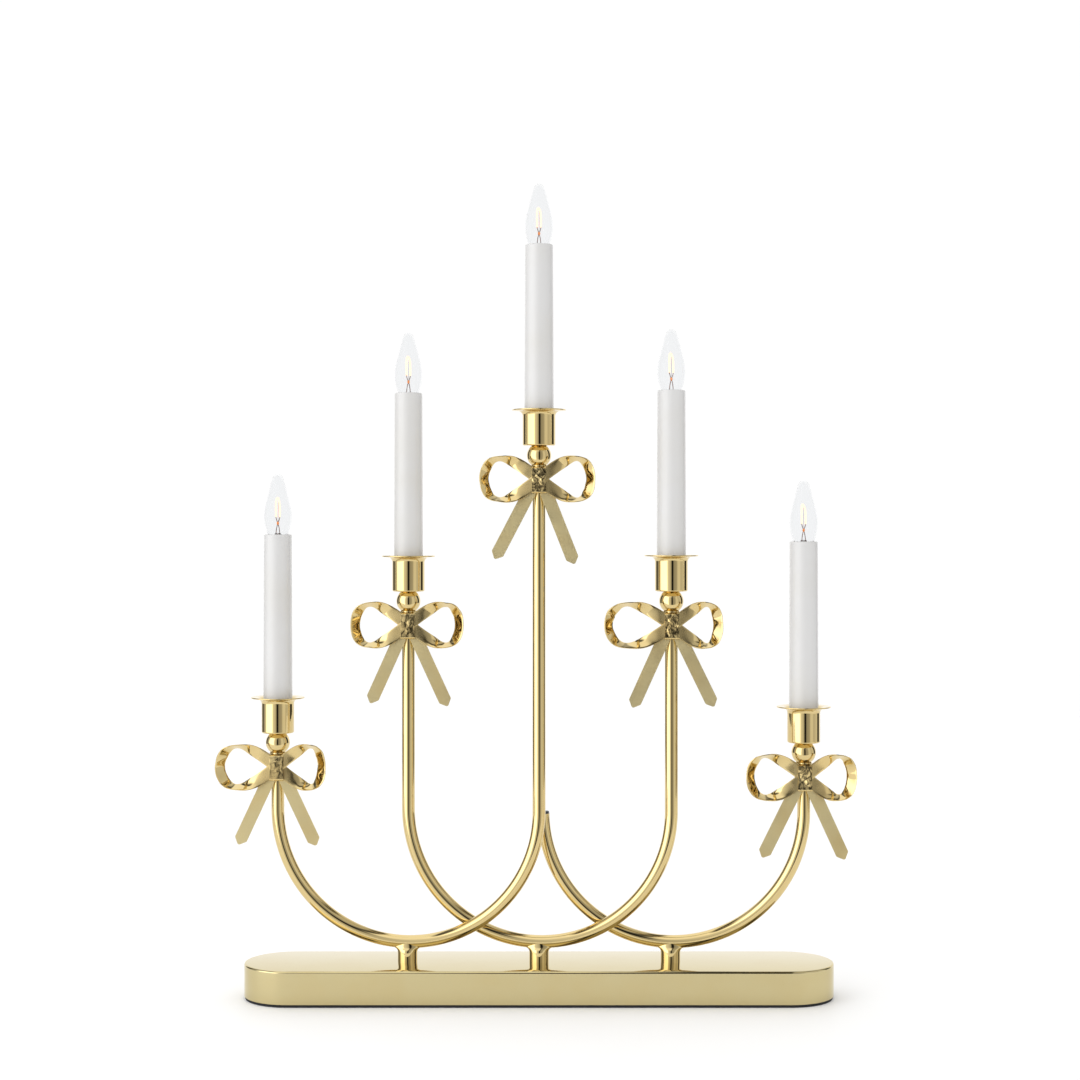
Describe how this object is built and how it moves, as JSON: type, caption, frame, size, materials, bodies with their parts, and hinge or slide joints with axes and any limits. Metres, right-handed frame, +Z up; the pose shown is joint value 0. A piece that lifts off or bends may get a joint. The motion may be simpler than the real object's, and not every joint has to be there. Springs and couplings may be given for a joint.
{
  "type": "electric tabletop candelabra",
  "caption": "Electric advent candlestick: interlaced U-shaped brass tubes on a rounded base, with cups, candle sleeves, clear filament lamps and brass ribbon bows.",
  "frame": {"origin": "middle of the base's underside, on the table", "axes": "+Z up, +X to the right along the base, front towards -Y (the bows' side)"},
  "size_m": [0.3956, 0.0617, 0.5026],
  "materials": {
    "polished_brass": "polished, lacquered",
    "ribbon_brass": "bright rolled strip",
    "satin_brass": "satin, fine straight grain",
    "hammered_brass": "hammered, semi-bright",
    "steel": "zinc plated",
    "pad": "matt foam",
    "black_plastic": "glossy",
    "gland_rubber": "matt",
    "candle_plastic": "smooth, softly glossy, ivory white",
    "holder_plastic": "matt white",
    "lamp_glass": "clear",
    "lamp_metal": "nickelled brass",
    "filament": "tungsten and glass bead",
    "wire": "insulated wire"
  },
  "bodies": {
    "root": {"base_cover": "polished_brass", "post_left": "polished_brass", "post_centre": "polished_brass", "post_right": "polished_brass", "arm_left": "polished_brass", "arm_centre": "polished_brass", "arm_right": "polished_brass", "arm_collars": "polished_brass", "arm_balls": "polished_brass", "base_plate": "steel", "base_screws": "steel", "base_studs": "steel", "post_nuts": "steel", "cup_nuts": "steel", "candle_stems": "steel", "base_pad": "pad", "stub_plug": "black_plastic", "cord_gland": "gland_rubber", "terminal_block": "holder_plastic", "wiring": "wire", "lamp_holders": "holder_plastic", "holder_contacts": "lamp_metal", "bow_tails": "satin_brass", "bow_knots": "hammered_brass", "cup_outer_left": "polished_brass", "sleeve_outer_left": "candle_plastic", "ribbon_outer_left": "ribbon_brass", "cup_inner_left": "polished_brass", "sleeve_inner_left": "candle_plastic", "ribbon_inner_left": "ribbon_brass", "cup_centre": "polished_brass", "sleeve_centre": "candle_plastic", "ribbon_centre": "ribbon_brass", "cup_inner_right": "polished_brass", "sleeve_inner_right": "candle_plastic", "ribbon_inner_right": "ribbon_brass", "cup_outer_right": "polished_brass", "sleeve_outer_right": "candle_plastic", "ribbon_outer_right": "ribbon_brass"},
    "lamp_outer_left": {"bulb_glass_outer_left": "lamp_glass", "bulb_cap_outer_left": "lamp_metal", "bulb_filament_outer_left": "filament"},
    "lamp_tip_outer_left": {"bulb_contact_outer_left": "lamp_metal"},
    "lamp_inner_left": {"bulb_glass_inner_left": "lamp_glass", "bulb_cap_inner_left": "lamp_metal", "bulb_filament_inner_left": "filament"},
    "lamp_tip_inner_left": {"bulb_contact_inner_left": "lamp_metal"},
    "lamp_centre": {"bulb_glass_centre": "lamp_glass", "bulb_cap_centre": "lamp_metal", "bulb_filament_centre": "filament"},
    "lamp_tip_centre": {"bulb_contact_centre": "lamp_metal"},
    "lamp_inner_right": {"bulb_glass_inner_right": "lamp_glass", "bulb_cap_inner_right": "lamp_metal", "bulb_filament_inner_right": "filament"},
    "lamp_tip_inner_right": {"bulb_contact_inner_right": "lamp_metal"},
    "lamp_outer_right": {"bulb_glass_outer_right": "lamp_glass", "bulb_cap_outer_right": "lamp_metal", "bulb_filament_outer_right": "filament"},
    "lamp_tip_outer_right": {"bulb_contact_outer_right": "lamp_metal"}
  },
  "joints": [
    {"name": "lamp_travel_outer_left", "type": "slide", "parent": "root", "child": "lamp_tip_outer_left", "axis": [0, 0, 1], "range_m": [0, 0.0091]},
    {"name": "lamp_turn_outer_left", "type": "hinge", "parent": "lamp_tip_outer_left", "child": "lamp_outer_left", "pos_m": [-0.163, 0.00834, 0.2779], "axis": [0, 0, 1], "range_deg": [0, 1800]},
    {"name": "lamp_travel_inner_left", "type": "slide", "parent": "root", "child": "lamp_tip_inner_left", "axis": [0, 0, 1], "range_m": [0, 0.0091]},
    {"name": "lamp_turn_inner_left", "type": "hinge", "parent": "lamp_tip_inner_left", "child": "lamp_inner_left", "pos_m": [-0.0815, 0.00834, 0.3668], "axis": [0, 0, 1], "range_deg": [0, 1800]},
    {"name": "lamp_travel_centre", "type": "slide", "parent": "root", "child": "lamp_tip_centre", "axis": [0, 0, 1], "range_m": [0, 0.0091]},
    {"name": "lamp_turn_centre", "type": "hinge", "parent": "lamp_tip_centre", "child": "lamp_centre", "pos_m": [0, -0.00834, 0.457], "axis": [0, 0, 1], "range_deg": [0, 1800]},
    {"name": "lamp_travel_inner_right", "type": "slide", "parent": "root", "child": "lamp_tip_inner_right", "axis": [0, 0, 1], "range_m": [0, 0.0091]},
    {"name": "lamp_turn_inner_right", "type": "hinge", "parent": "lamp_tip_inner_right", "child": "lamp_inner_right", "pos_m": [0.0815, -0.00834, 0.3672], "axis": [0, 0, 1], "range_deg": [0, 1800]},
    {"name": "lamp_travel_outer_right", "type": "slide", "parent": "root", "child": "lamp_tip_outer_right", "axis": [0, 0, 1], "range_m": [0, 0.0091]},
    {"name": "lamp_turn_outer_right", "type": "hinge", "parent": "lamp_tip_outer_right", "child": "lamp_outer_right", "pos_m": [0.163, -0.00834, 0.2746], "axis": [0, 0, 1], "range_deg": [0, 1800]}
  ],
  "couplings": [
    {"joint": "lamp_travel_outer_left", "follows": "lamp_turn_outer_left", "m_per_rad": 0.00028807},
    {"joint": "lamp_travel_inner_left", "follows": "lamp_turn_inner_left", "m_per_rad": 0.00028807},
    {"joint": "lamp_travel_centre", "follows": "lamp_turn_centre", "m_per_rad": 0.00028807},
    {"joint": "lamp_travel_inner_right", "follows": "lamp_turn_inner_right", "m_per_rad": 0.00028807},
    {"joint": "lamp_travel_outer_right", "follows": "lamp_turn_outer_right", "m_per_rad": 0.00028807}
  ]
}
